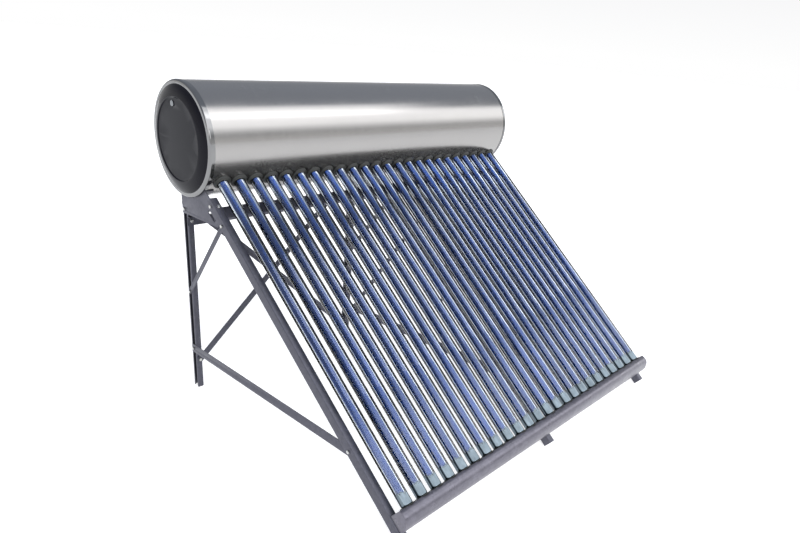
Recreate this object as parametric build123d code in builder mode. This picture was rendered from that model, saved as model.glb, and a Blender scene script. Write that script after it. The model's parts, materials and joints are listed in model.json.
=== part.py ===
"""Thermosiphon solar water heater: a horizontal insulated tank, a row of evacuated glass
tubes that push up into it, and a bolted steel stand.

Frame: +X along the tank, +Y to the back, +Z up. The origin is on the ground, at the centre
of the object's footprint box. Places on the sloping tube field are given as (s, n): s runs
from the tank axis down the slope along the tubes, n stands square to the tube plane and
points up and to the front.
"""

import math
import os

from build123d import *

os.makedirs("parts", exist_ok=True)

# ---------------------------------------------------------------- tube field
tube_count = 24
tube_pitch = 75.0
tube_slope = 38.0  # degrees above level
tube_diameter = 47.0
tube_length = 1500.0
glass_wall = 1.6
absorber_diameter = 37.0
tube_entry = 25.0  # how far a tube reaches into the inner tank
tail_tip_length = 12.0
tail_tip_radius = 5.0
clip_wall = 0.6
clip_length = 26.0

# ---------------------------------------------------------------- tank
tank_diameter = 446.0
tank_end_margin = 62.0  # from the outer tubes to the ends of the shell
shell_wall = 0.8
foam_thickness = 43.0
inner_tank_wall = 1.2
inner_tank_end_margin = 33.5  # from the outer tubes to the end of the straight part
inner_dome_height = 24.0
dome_disc_radius = 40.0
band_wall = 1.0
band_overlap = 12.0
band_width = 22.0
band_roll = 9.0
band_lip = 8.0
cap_wall = 2.5
cap_rise = 15.0
cap_ring_radius = 160.0
cap_ring_width = 4.0
cap_recess = 4.0
cap_disc_radius = 12.0
sensor_plug_radius = 11.0
sensor_plug_depth = 4.4
sensor_plug_angle = 80.0  # degrees up from the back, seen along +X
sensor_plug_offset = 136.0
anode_radius = 10.5
anode_length = 520.0
anode_plug_radius = 16.0

# ---------------------------------------------------------------- water ports
port_radius = 10.48
port_water_way = 7.5
port_stand_out = 22.0
port_neck_radius = 13.0  # the plain neck that carries the stub through the foam
port_collar = 3.0  # how far the neck stands out past the shell
port_places = {  # share of the way to the outer tubes, and angle above the +Y direction
    "cold_inlet": (-0.74, -50.0),
    "hot_outlet": (0.74, -50.0),
    "vent": (0.49, 28.0),
}

# ---------------------------------------------------------------- seals, rings, cups
seal_wall = 4.2
seal_length = 20.0
seal_flange = 5.5
seal_flange_thickness = 3.0
ring_neck_wall = 5.0
ring_neck_length = 11.0
ring_flange_radius = 35.0
ring_flange_thickness = 5.0
ring_lip_height = 9.0
cup_wall = 3.0
cup_flange_radius = 31.0
cup_flange_thickness = 3.0
cup_tip_hole = 8.0

# ---------------------------------------------------------------- stand
left_frame_margin = 45.5  # from the outer tube to the left frame's middle
right_frame_margin = 17.5
leg_out_side = (-1, -1, 1)  # the side of each frame that faces away from the tubes
leg_face = 37.0  # tube plane to the front face of the sloping legs
leg_width = 31.0
leg_depth = 40.0
leg_wall = 2.0
leg_top_gap = 41.0  # from the shell to the sloping leg's upper end
leg_foot_overhang = 36.0  # of the sloping leg below the tail rail
rear_leg_front = 8.0  # distance behind the tank axis
rear_leg_depth = 40.0
rear_leg_lip = 10.0
strip_wall = 2.5
tie_height = 40.0
tie_fold = 12.0
tie_rear_height = 198.4  # above the ground, as the next four are
tie_front_height = 237.4
diagonal_width = 22.0
diagonal_rear_height = 479.4
diagonal_front_reach = 119.0  # below the sloping leg's upper end
brace_width = 30.0
rising_brace_foot_height = 145.4
rising_brace_run_share = 0.812  # of the way from an outer frame to the middle one
falling_brace_foot_height = 66.4
falling_brace_top_gap = 39.0  # from the underside of the shell
top_rail_height = 40.0
top_rail_gap = 89.0  # from the underside of the shell
top_rail_fold = 18.0
cross_channel_set = 18.0  # below the sloping leg's upper end
cross_channel_height = 54.0
cross_channel_depth = 20.0
saddle_wall = 3.0
saddle_width = 38.0
saddle_pad_start = 12.0  # from the plate, clear of the end band
saddle_front_reach = 146.0
saddle_rear_depth = 79.0  # below the underside of the shell

# ---------------------------------------------------------------- tail rail
rail_left_margin = 55.5  # past the outer tubes
rail_right_margin = 49.5
tail_seat_depth = 14.0  # of a tube's end below the rail's top face
rail_height = 67.0
rail_front = 32.0  # n
rail_wall = 1.5
rail_end_wall = 2.0

# ---------------------------------------------------------------- fasteners and fits
bolt_diameter = 8.0
bolt_hole_diameter = 9.0
bolt_head_width = 13.0
bolt_head_height = 5.3
nut_height = 6.5
bolt_tail = 2.0
thread_gap = 0.1
slide_gap = 0.3  # glass against rubber and plastic
seat_gap = 0.3  # curved sheet against curved sheet
face_gap = 0.1  # a bolt head or a strip against what it lies on

# ---------------------------------------------------------------- derived places
slope = math.radians(tube_slope)
tube_radius = tube_diameter / 2
tank_radius = tank_diameter / 2
inner_tank_radius = tank_radius - foam_thickness
outer_tube_x = (tube_count - 1) / 2 * tube_pitch
tank_half_length = outer_tube_x + tank_end_margin
inner_tank_half_length = outer_tube_x + inner_tank_end_margin
tube_mouth = inner_tank_radius - tube_entry
band_radius = tank_radius + seat_gap + band_wall
leg_back = leg_face + leg_depth
tube_bottom = tube_mouth + tube_length
tail_centre = tube_bottom - tube_radius
rail_top = tube_bottom - tail_seat_depth
rail_bottom = rail_top + rail_height
rail_ends = (-outer_tube_x - rail_left_margin, outer_tube_x + rail_right_margin)
leg_x = (-outer_tube_x - left_frame_margin, 0.0, outer_tube_x + right_frame_margin)
leg_top = tank_radius + leg_top_gap
leg_foot = rail_bottom + leg_foot_overhang
diagonal_front_s = leg_top + diagonal_front_reach
cross_channel_top = leg_top + cross_channel_set
axis_z = leg_foot * math.sin(slope) + leg_back * math.cos(slope)
foot_reach = leg_foot * math.cos(slope) - leg_face * math.sin(slope)
axis_y = (foot_reach - band_radius) / 2
tie_rear_drop = axis_z - tie_rear_height
tie_front_drop = axis_z - tie_front_height
diagonal_rear_drop = axis_z - diagonal_rear_height
rising_brace_start_drop = axis_z - rising_brace_foot_height
falling_brace_end_drop = axis_z - falling_brace_foot_height
falling_brace_start_drop = tank_radius + falling_brace_top_gap
top_rail_drop = tank_radius + top_rail_gap
saddle_rear_drop = tank_radius + saddle_rear_depth
downhill = Vector(0, -math.cos(slope), -math.sin(slope))
outward = Vector(0, -math.sin(slope), math.cos(slope))
tank_axis = Axis((0, axis_y, axis_z), (1, 0, 0))


def at(x, s, n):
    """A point of the sloping field."""
    return Vector(x, axis_y, axis_z) + downhill * s + outward * n


def below(x, back, drop):
    """A point given by its distance behind and below the tank axis."""
    return Vector(x, axis_y + back, axis_z - drop)


def slope_section(x):
    """Local x is s and local y is n; extruding goes towards -X."""
    return Plane(origin=at(x, 0, 0), x_dir=downhill, z_dir=(-1, 0, 0))


def across_tubes(s):
    """Local x is X and local y is n; extruding goes down the slope."""
    return Plane(origin=at(0, s, 0), x_dir=(1, 0, 0), z_dir=downhill)


def upright_section(x):
    """Local x is Y and local y is Z, from the tank axis; extruding goes towards +X."""
    return Plane(origin=(x, axis_y, axis_z), x_dir=(0, 1, 0), z_dir=(1, 0, 0))


def back_section(back):
    """Local x is X and local y is Z, from the tank axis; extruding goes to the front."""
    return Plane(origin=(0, axis_y + back, axis_z), x_dir=(1, 0, 0), z_dir=(0, -1, 0))


turning_section = Plane(origin=(0, axis_y, axis_z), x_dir=(1, 0, 0), z_dir=(0, 0, 1))


def tube_section(x):
    """Local x is the radius from a tube's axis and local y is s."""
    return Plane(origin=at(x, 0, 0), x_dir=(1, 0, 0), z_dir=outward * -1)


def port_section(name):
    """A plane on the tank axis that looks out along a port."""
    share, angle = port_places[name]
    out = (0, math.cos(math.radians(angle)), math.sin(math.radians(angle)))
    return Plane(origin=(share * outer_tube_x, axis_y, axis_z), x_dir=(1, 0, 0), z_dir=out)


def save(piece, name):
    piece.part.label = name
    export_step(piece.part, f"parts/{name}.step")


def strip_outline(start, end, width):
    """A straight strip between two points of the current sketch, with round ends."""
    run = Vector(*end) - Vector(*start)
    middle = (Vector(*end) + Vector(*start)) * 0.5
    turn = math.degrees(math.atan2(run.Y, run.X))
    with Locations(Location((middle.X, middle.Y, 0), (0, 0, turn))):
        SlotCenterToCenter(run.length, width)


# ---------------------------------------------------------------- bolts: place, direction, grip
# Each bolt runs from the face under its head, along its direction, through its grip.
def leg_inside(side):
    """Offset of the strips' outer face from a leg's middle, towards the outer side."""
    return side * (leg_width / 2 - leg_wall)


def slope_bolt(x, side, s, n):
    """Through a sloping leg's outer flange and the strip that lies inside it."""
    head = at(x + side * leg_width / 2, s, n)
    return head, Vector(-side, 0, 0), leg_wall + strip_wall + 2 * face_gap


def upright_bolt(x, side, back, drop):
    """Through a strip and right through a rear leg."""
    head = below(x + leg_inside(side), back, drop)
    return head, Vector(-side, 0, 0), leg_width - leg_wall


def rising_brace_run(x):
    """How far along X a rising brace reaches from the outer frame at x."""
    return abs(x) * rising_brace_run_share


rear_leg_middle = rear_leg_front + rear_leg_depth / 2
rear_leg_back = rear_leg_front + rear_leg_depth
leg_middle_n = -(leg_face + leg_depth * 0.6)
tie_front_s = (tie_front_drop + leg_middle_n * math.cos(slope)) / math.sin(slope)
rising_front = rear_leg_front - 2 * strip_wall - 2 * face_gap
rising_end_drop = top_rail_drop + strip_wall + brace_width / 2 + 2.0

frame_bolts = []
for x, side in zip(leg_x, leg_out_side):
    frame_bolts.append(slope_bolt(x, side, leg_top + 22.0, leg_middle_n))
    frame_bolts.append(slope_bolt(x, side, diagonal_front_s, leg_middle_n))
    frame_bolts.append(slope_bolt(x, side, tie_front_s, leg_middle_n))
    frame_bolts.append(upright_bolt(x, side, rear_leg_middle, tie_rear_drop))
    frame_bolts.append(upright_bolt(x, side, rear_leg_middle, diagonal_rear_drop))
    frame_bolts.append(upright_bolt(x, side, rear_leg_middle, saddle_rear_drop - 18.0))
    channel_middle = cross_channel_top + cross_channel_height / 2
    grip = leg_depth + leg_wall + face_gap
    frame_bolts.append((at(x, channel_middle, -leg_face), outward * -1, grip))
    grip = rail_wall + leg_wall + face_gap
    head = at(x, rail_bottom - 16.0, -leg_face - leg_wall)
    frame_bolts.append((head, outward, grip))

brace_bolts = []
for x, side in zip(leg_x, leg_out_side):
    flange_middle = x - side * (leg_wall + strip_wall) / 2
    rail_front_face = rear_leg_front - strip_wall - face_gap
    grip = strip_wall + leg_wall + face_gap
    head = below(flange_middle, rail_front_face, rising_end_drop)
    brace_bolts.append((head, Vector(0, 1, 0), grip))
for x, side in ((leg_x[0], -1), (leg_x[2], 1)):
    flange_middle = x - side * (leg_wall + strip_wall) / 2
    grip = 2 * strip_wall + leg_wall + 2 * face_gap
    head = below(flange_middle, rising_front, rising_brace_start_drop)
    brace_bolts.append((head, Vector(0, 1, 0), grip))
    end_x = flange_middle - side * rising_brace_run(x)
    grip = 2 * strip_wall + face_gap
    brace_bolts.append((below(end_x, rising_front, rising_end_drop), Vector(0, 1, 0), grip))
    layers = 1 if side < 0 else 2
    grip = leg_wall + layers * (strip_wall + face_gap)
    head = below(flange_middle, rear_leg_back + grip - leg_wall, falling_brace_start_drop)
    brace_bolts.append((head, Vector(0, -1, 0), grip))
middle_flange = leg_x[1] + (leg_wall + strip_wall) / 2
grip = leg_wall + 2 * (strip_wall + face_gap)
head = below(middle_flange, rear_leg_back + grip - leg_wall, falling_brace_end_drop)
brace_bolts.append((head, Vector(0, -1, 0), grip))

all_bolts = frame_bolts + brace_bolts


def drill(bolts):
    """Cuts the clearance holes of some bolts through the sub-part being built."""
    for place, direction, grip in bolts:
        with BuildSketch(Plane(origin=place - direction, z_dir=direction)) as hole:
            Circle(bolt_hole_diameter / 2)
        extrude(hole.sketch, amount=grip + 2.0, mode=Mode.SUBTRACT)


# ================================================================ tank
def cut_tube_holes(radius, start, length):
    with BuildSketch(across_tubes(start)) as holes:
        with GridLocations(tube_pitch, 1, tube_count, 1):
            Circle(radius)
    extrude(holes.sketch, amount=length, mode=Mode.SUBTRACT)


def cut_port_holes(radius):
    for name in port_places:
        with BuildSketch(port_section(name)) as hole:
            Circle(radius)
        extrude(hole.sketch, amount=tank_diameter, mode=Mode.SUBTRACT)


seal_radius = tube_radius + slide_gap + seal_wall
ring_neck_radius = tube_radius + slide_gap + ring_neck_wall

with BuildPart() as tank_shell:
    with BuildSketch(upright_section(-tank_half_length)):
        Circle(tank_radius)
        Circle(tank_radius - shell_wall, mode=Mode.SUBTRACT)
    extrude(amount=2 * tank_half_length)
    cut_tube_holes(ring_neck_radius + seat_gap, inner_tank_radius, tank_radius)
    cut_port_holes(port_neck_radius + seat_gap)
save(tank_shell, "tank_shell")

# The inner tank's outline, from one dome to the other, offset by a wall or a gap.
def vessel_outline(grow):
    """Half of the vessel's section: straight sides, domed ends and a flat disc on each dome."""
    radius = inner_tank_radius + grow
    tip = inner_tank_half_length + inner_dome_height + grow
    bend = inner_tank_half_length + inner_dome_height * 0.73 + grow
    Line((-tip, 0), (tip, 0))
    Line((tip, 0), (tip, dome_disc_radius))
    ThreePointArc((tip, dome_disc_radius), (bend, radius * 0.55), (inner_tank_half_length, radius))
    Line((inner_tank_half_length, radius), (-inner_tank_half_length, radius))
    ThreePointArc(
        (-inner_tank_half_length, radius), (-bend, radius * 0.55), (-tip, dome_disc_radius)
    )
    Line((-tip, dome_disc_radius), (-tip, 0))


with BuildPart() as inner_tank:
    with BuildSketch(turning_section):
        with BuildLine():
            vessel_outline(0.0)
        make_face()
        with BuildLine():
            vessel_outline(-inner_tank_wall)
        make_face(mode=Mode.SUBTRACT)
    revolve(axis=tank_axis)
    cut_tube_holes(seal_radius + seat_gap, tube_mouth, tank_radius)
    cut_port_holes(port_neck_radius + seat_gap)
    with BuildSketch(upright_section(inner_tank_half_length)):
        Circle(anode_plug_radius + seat_gap)
    extrude(amount=2 * inner_dome_height, mode=Mode.SUBTRACT)
save(inner_tank, "inner_tank")

seal_flange_radius = seal_radius + seal_flange
foam_radius = tank_radius - shell_wall - seat_gap
band_start = tank_half_length - band_overlap
band_end = band_start + band_width
lip_radius = band_radius - band_roll - band_lip
ring_inner = cap_ring_radius - cap_ring_width
cap_edge = lip_radius - seat_gap
nose_radius = cap_edge - cap_wall - 1.0
nose_end = band_end + cap_rise - cap_recess - cap_wall - 1.0
with BuildPart() as insulation_foam:
    with BuildSketch(turning_section):
        with BuildLine():
            Polyline(
                (-nose_end, 0),
                (nose_end, 0),
                (nose_end, ring_inner),
                (band_end - cap_wall - 1.0, nose_radius),
                (tank_half_length, nose_radius),
                (tank_half_length, foam_radius),
                (-tank_half_length, foam_radius),
                (-tank_half_length, nose_radius),
                (1.0 + cap_wall - band_end, nose_radius),
                (-nose_end, ring_inner),
                close=True,
            )
        make_face()
        with BuildLine():
            vessel_outline(seat_gap)
        make_face(mode=Mode.SUBTRACT)
    revolve(axis=tank_axis)
    cut_tube_holes(seal_flange_radius + seat_gap, tube_mouth, tank_radius)
    cut_port_holes(port_neck_radius + seat_gap)
    with BuildSketch(upright_section(inner_tank_half_length)):
        RegularPolygon(anode_plug_radius + 8.0, 6)
    extrude(amount=nose_end - inner_tank_half_length, mode=Mode.SUBTRACT)
save(insulation_foam, "insulation_foam")

# End bands: a rolled stainless ring over each end of the shell, with a lip that holds the cap.
band_inner = band_radius - band_wall
for name, sign in (("end_band_left", -1), ("end_band_right", 1)):
    with BuildPart() as end_band:
        with BuildSketch(turning_section):
            with BuildLine():
                straight_end = band_end - band_roll
                roll_out = (straight_end, band_radius - band_roll)
                corner = band_roll * math.sqrt(0.5)
                inner_corner = (band_roll - band_wall) * math.sqrt(0.5)
                Line((sign * band_start, band_inner), (sign * band_start, band_radius))
                Line((sign * band_start, band_radius), (sign * straight_end, band_radius))
                ThreePointArc(
                    (sign * straight_end, band_radius),
                    (sign * (roll_out[0] + corner), roll_out[1] + corner),
                    (sign * band_end, roll_out[1]),
                )
                Line((sign * band_end, roll_out[1]), (sign * band_end, lip_radius))
                Line((sign * band_end, lip_radius), (sign * (band_end - band_wall), lip_radius))
                Line(
                    (sign * (band_end - band_wall), lip_radius),
                    (sign * (band_end - band_wall), roll_out[1]),
                )
                ThreePointArc(
                    (sign * (band_end - band_wall), roll_out[1]),
                    (sign * (roll_out[0] + inner_corner), roll_out[1] + inner_corner),
                    (sign * straight_end, band_inner),
                )
                Line((sign * straight_end, band_inner), (sign * band_start, band_inner))
            make_face()
        revolve(axis=tank_axis)
    save(end_band, name)

# End caps: a domed outer ring, a small step, and a nearly flat centre panel.
cap_seat = band_end - band_wall - face_gap


def cap_outline(sign, grow):
    """One side of the cap, from its centre disc out to its edge; grow is the depth behind."""
    crown = band_end + cap_rise - grow
    panel = crown - cap_recess
    bulge = (cap_edge + cap_ring_radius) / 2
    return (
        (sign * (panel + 1.5), cap_disc_radius),
        (sign * (panel + 1.1), ring_inner / 2),
        (sign * panel, ring_inner),
        (sign * crown, cap_ring_radius),
        (sign * (band_end - grow + cap_rise * 0.66), bulge),
        (sign * (band_end - grow), cap_edge - grow),
    )


for name, sign in (("end_cap_left", -1), ("end_cap_right", 1)):
    with BuildPart() as end_cap:
        with BuildSketch(turning_section):
            with BuildLine():
                outer = cap_outline(sign, 0.0)
                inner = cap_outline(sign, cap_wall)
                flange = lip_radius + band_lip * 0.6
                seat = cap_seat
                ThreePointArc(outer[0], outer[1], outer[2])
                Line(outer[2], outer[3])
                ThreePointArc(outer[3], outer[4], outer[5])
                Line(outer[5], (sign * seat, cap_edge))
                Line((sign * seat, cap_edge), (sign * seat, flange))
                Line((sign * seat, flange), (sign * (seat - cap_wall), flange))
                Line((sign * (seat - cap_wall), flange), (sign * (seat - cap_wall), inner[5][1]))
                Line((sign * (seat - cap_wall), inner[5][1]), inner[5])
                ThreePointArc(inner[5], inner[4], inner[3])
                Line(inner[3], inner[2])
                ThreePointArc(inner[2], inner[1], inner[0])
                Polyline(inner[0], (inner[0][0], 0), (outer[0][0], 0), outer[0])
            make_face()
        revolve(axis=tank_axis)
        if sign < 0:
            angle = math.radians(sensor_plug_angle)
            plug_y = sensor_plug_offset * math.cos(angle)
            plug_z = sensor_plug_offset * math.sin(angle)
            with BuildSketch(upright_section(-band_end - 2 * cap_rise)):
                with Locations((plug_y, plug_z)):
                    Circle(sensor_plug_radius - 3.0 + seat_gap)
            extrude(amount=3 * cap_rise, mode=Mode.SUBTRACT)
    save(end_cap, name)

# The sensor port's push-in plug, on the left cap.
panel_x = -(band_end + cap_rise - cap_recess + 1.6)
with BuildPart() as sensor_plug:
    with BuildSketch(upright_section(panel_x)):
        with Locations((plug_y, plug_z)):
            Circle(sensor_plug_radius)
    extrude(amount=-2.2)
    chamfer(sensor_plug.edges().group_by(Axis.X)[0], 0.8)
    with BuildSketch(upright_section(panel_x)):
        with Locations((plug_y, plug_z)):
            Circle(sensor_plug_radius - 3.0)
    extrude(amount=sensor_plug_depth)
save(sensor_plug, "sensor_plug")

with BuildPart() as anode_rod:
    dome_inside = inner_tank_half_length + inner_dome_height
    with BuildSketch(upright_section(dome_inside + 1.5)):
        Circle(anode_radius)
    extrude(amount=-anode_length)
    with BuildSketch(upright_section(dome_inside - 12.0)):
        Circle(anode_plug_radius)
    extrude(amount=12.0 + seat_gap)
    with BuildSketch(upright_section(dome_inside + seat_gap)):
        RegularPolygon(anode_plug_radius + 4.0, 6)
    extrude(amount=8.0)
save(anode_rod, "anode_rod")

with BuildPart() as water_ports:
    for name in port_places:
        inner_end = inner_tank_radius - 6.0
        with BuildSketch(port_section(name).offset(inner_end)):
            Circle(port_neck_radius)
            Circle(port_water_way, mode=Mode.SUBTRACT)
        extrude(amount=tank_radius + port_collar - inner_end)
        with BuildSketch(port_section(name).offset(tank_radius + port_collar)):
            Circle(port_radius)
            Circle(port_water_way, mode=Mode.SUBTRACT)
        extrude(amount=port_stand_out - port_collar)
save(water_ports, "water_ports")


# ================================================================ seals, rings and cups
def turned_at_each_tube(points):
    """Turns one profile of (radius, s) points about every tube's axis."""
    for column in range(tube_count):
        x = column * tube_pitch - outer_tube_x
        with BuildSketch(tube_section(x)) as profile:
            with BuildLine():
                Polyline(*points, close=True)
            make_face()
        revolve(profile.sketch, axis=Axis(at(x, 0, 0), downhill))


bore = tube_radius + slide_gap
with BuildPart() as tube_seals:
    seal_start = inner_tank_radius - seal_length / 2
    flange_start = inner_tank_radius + seat_gap
    turned_at_each_tube(
        (
            (bore, seal_start),
            (seal_radius, seal_start),
            (seal_radius, flange_start),
            (seal_flange_radius, flange_start),
            (seal_flange_radius, flange_start + seal_flange_thickness),
            (seal_radius, flange_start + seal_flange_thickness + 3.0),
            (bore, seal_start + seal_length),
        )
    )
save(tube_seals, "tube_seals")

with BuildPart() as dust_rings:
    ring_seat = tank_radius + seat_gap
    turned_at_each_tube(
        (
            (bore, ring_seat - ring_neck_length),
            (ring_neck_radius, ring_seat - ring_neck_length),
            (ring_neck_radius, ring_seat),
            (ring_flange_radius, ring_seat),
            (ring_flange_radius - 1.5, ring_seat + ring_flange_thickness),
            (bore + 3.0, ring_seat + ring_lip_height),
            (bore, ring_seat + ring_lip_height),
        )
    )
save(dust_rings, "dust_rings")

with BuildPart() as tail_cups:
    cup_top = rail_top - face_gap
    cup_rim = cup_top - cup_flange_thickness
    cup_radius = bore + cup_wall
    cup_throat = math.sqrt(bore**2 - cup_tip_hole**2)
    cup_base = math.sqrt(cup_radius**2 - cup_tip_hole**2)
    eighth = math.sqrt(0.5)
    for column in range(tube_count):
        x = column * tube_pitch - outer_tube_x
        with BuildSketch(tube_section(x)):
            with BuildLine():
                rise = cup_top - tail_centre
                outer_start = (math.sqrt(cup_radius**2 - rise**2), cup_top)
                rise = cup_rim - tail_centre
                inner_start = (math.sqrt(bore**2 - rise**2), cup_rim)
                Line(inner_start, (cup_flange_radius, cup_rim))
                Line((cup_flange_radius, cup_rim), (cup_flange_radius, cup_top))
                Line((cup_flange_radius, cup_top), outer_start)
                ThreePointArc(
                    outer_start,
                    (cup_radius * eighth, tail_centre + cup_radius * eighth),
                    (cup_tip_hole, tail_centre + cup_base),
                )
                Line((cup_tip_hole, tail_centre + cup_base), (cup_tip_hole, tail_centre + cup_throat))
                ThreePointArc(
                    (cup_tip_hole, tail_centre + cup_throat),
                    (bore * eighth, tail_centre + bore * eighth),
                    inner_start,
                )
            make_face()
        revolve(axis=Axis(at(x, 0, 0), downhill))
save(tail_cups, "tail_cups")

# ================================================================ evacuated tubes
absorber_radius = absorber_diameter / 2
absorber_bottom = tube_bottom - glass_wall - clip_length * 0.35
for column in range(tube_count):
    x = column * tube_pitch - outer_tube_x
    tube_axis = Axis(at(x, 0, 0), downhill)
    with BuildPart() as tube:
        # Outer glass: open at the top, round at the tail, with the sealed-off tip.
        with BuildSketch(tube_section(x)):
            with BuildLine():
                inner = tube_radius - glass_wall
                rim = tube_mouth + glass_wall
                tip_start = tail_centre + math.sqrt(tube_radius**2 - tail_tip_radius**2)
                tip_end = tube_bottom + tail_tip_length
                Line((inner, rim), (tube_radius, rim))
                Line((tube_radius, rim), (tube_radius, tail_centre))
                ThreePointArc(
                    (tube_radius, tail_centre),
                    (tube_radius * eighth, tail_centre + tube_radius * eighth),
                    (tail_tip_radius, tip_start),
                )
                Line((tail_tip_radius, tip_start), (tail_tip_radius * 0.35, tip_end))
                Line((tail_tip_radius * 0.35, tip_end), (0, tip_end))
                Line((0, tip_end), (0, tail_centre + inner))
                ThreePointArc(
                    (0, tail_centre + inner),
                    (inner * eighth, tail_centre + inner * eighth),
                    (inner, tail_centre),
                )
                Line((inner, tail_centre), (inner, rim))
            make_face()
        revolve(axis=tube_axis)
        # Inner glass: its upper rim turns out and closes the space between the two tubes.
        with BuildSketch(tube_section(x)):
            with BuildLine():
                inside = absorber_radius - glass_wall
                centre = absorber_bottom - absorber_radius
                under = rim - face_gap
                Line((inside, tube_mouth), (tube_radius, tube_mouth))
                Line((tube_radius, tube_mouth), (tube_radius, under))
                Line((tube_radius, under), (absorber_radius, under))
                Line((absorber_radius, under), (absorber_radius, centre))
                ThreePointArc(
                    (absorber_radius, centre),
                    (absorber_radius * eighth, centre + absorber_radius * eighth),
                    (0, absorber_bottom),
                )
                Line((0, absorber_bottom), (0, centre + inside))
                ThreePointArc(
                    (0, centre + inside),
                    (inside * eighth, centre + inside * eighth),
                    (inside, centre),
                )
                Line((inside, centre), (inside, tube_mouth))
            make_face()
        revolve(axis=tube_axis)
        # Spring clip: a thin sleeve that holds the inner glass central.
        with BuildSketch(across_tubes(centre - clip_length)):
            with Locations((x, 0)):
                Circle(absorber_radius + face_gap + clip_wall)
                Circle(absorber_radius + face_gap, mode=Mode.SUBTRACT)
        extrude(amount=clip_length)
    save(tube, f"tube_{column + 1:02d}")

# ================================================================ tail rail
rail_back = -leg_face


def rail_outline(wall):
    """The rail's D section, drawn in by a wall."""
    back = rail_back + wall
    front = rail_front - wall
    top = rail_top + wall
    bottom = rail_bottom - wall
    Line((top, back), (top, front - 7.0))
    ThreePointArc((top, front - 7.0), (top + 26.0 - wall, front), (top + 50.0 - wall, front - 14.0))
    ThreePointArc(
        (top + 50.0 - wall, front - 14.0),
        (top + 61.0 - wall, front - 30.0),
        (bottom, front - 50.0),
    )
    Line((bottom, front - 50.0), (bottom, back))
    Line((bottom, back), (top, back))


with BuildPart() as tail_rail:
    with BuildSketch(slope_section(rail_ends[1])):
        with BuildLine():
            rail_outline(0.0)
        make_face()
        with BuildLine():
            rail_outline(rail_wall)
        make_face(mode=Mode.SUBTRACT)
    extrude(amount=rail_ends[1] - rail_ends[0])
    cut_tube_holes(cup_radius + seat_gap, rail_top - 5.0, 5.0 + 2 * rail_wall)
    drill(frame_bolts)
save(tail_rail, "tail_rail")

with BuildPart() as rail_end_plates:
    for x in (rail_ends[0] - face_gap, rail_ends[1] + face_gap + rail_end_wall):
        with BuildSketch(slope_section(x)):
            with BuildLine():
                rail_outline(0.0)
            make_face()
        extrude(amount=rail_end_wall)
save(rail_end_plates, "rail_end_plates")

# ================================================================ stand
side_names = ("left", "middle", "right")
cradle_radius = band_radius + seat_gap


def cradle_point(radius, back):
    """The point of a circle about the tank axis that lies below the tank at that Y."""
    return back, -math.sqrt(radius**2 - back**2)


def cradle_arc(radius):
    """The arc under the tank from the rear leg's back to the saddle's front."""
    ThreePointArc(
        cradle_point(radius, rear_leg_back),
        cradle_point(radius, -40.0),
        cradle_point(radius, -saddle_front_reach),
    )


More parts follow.
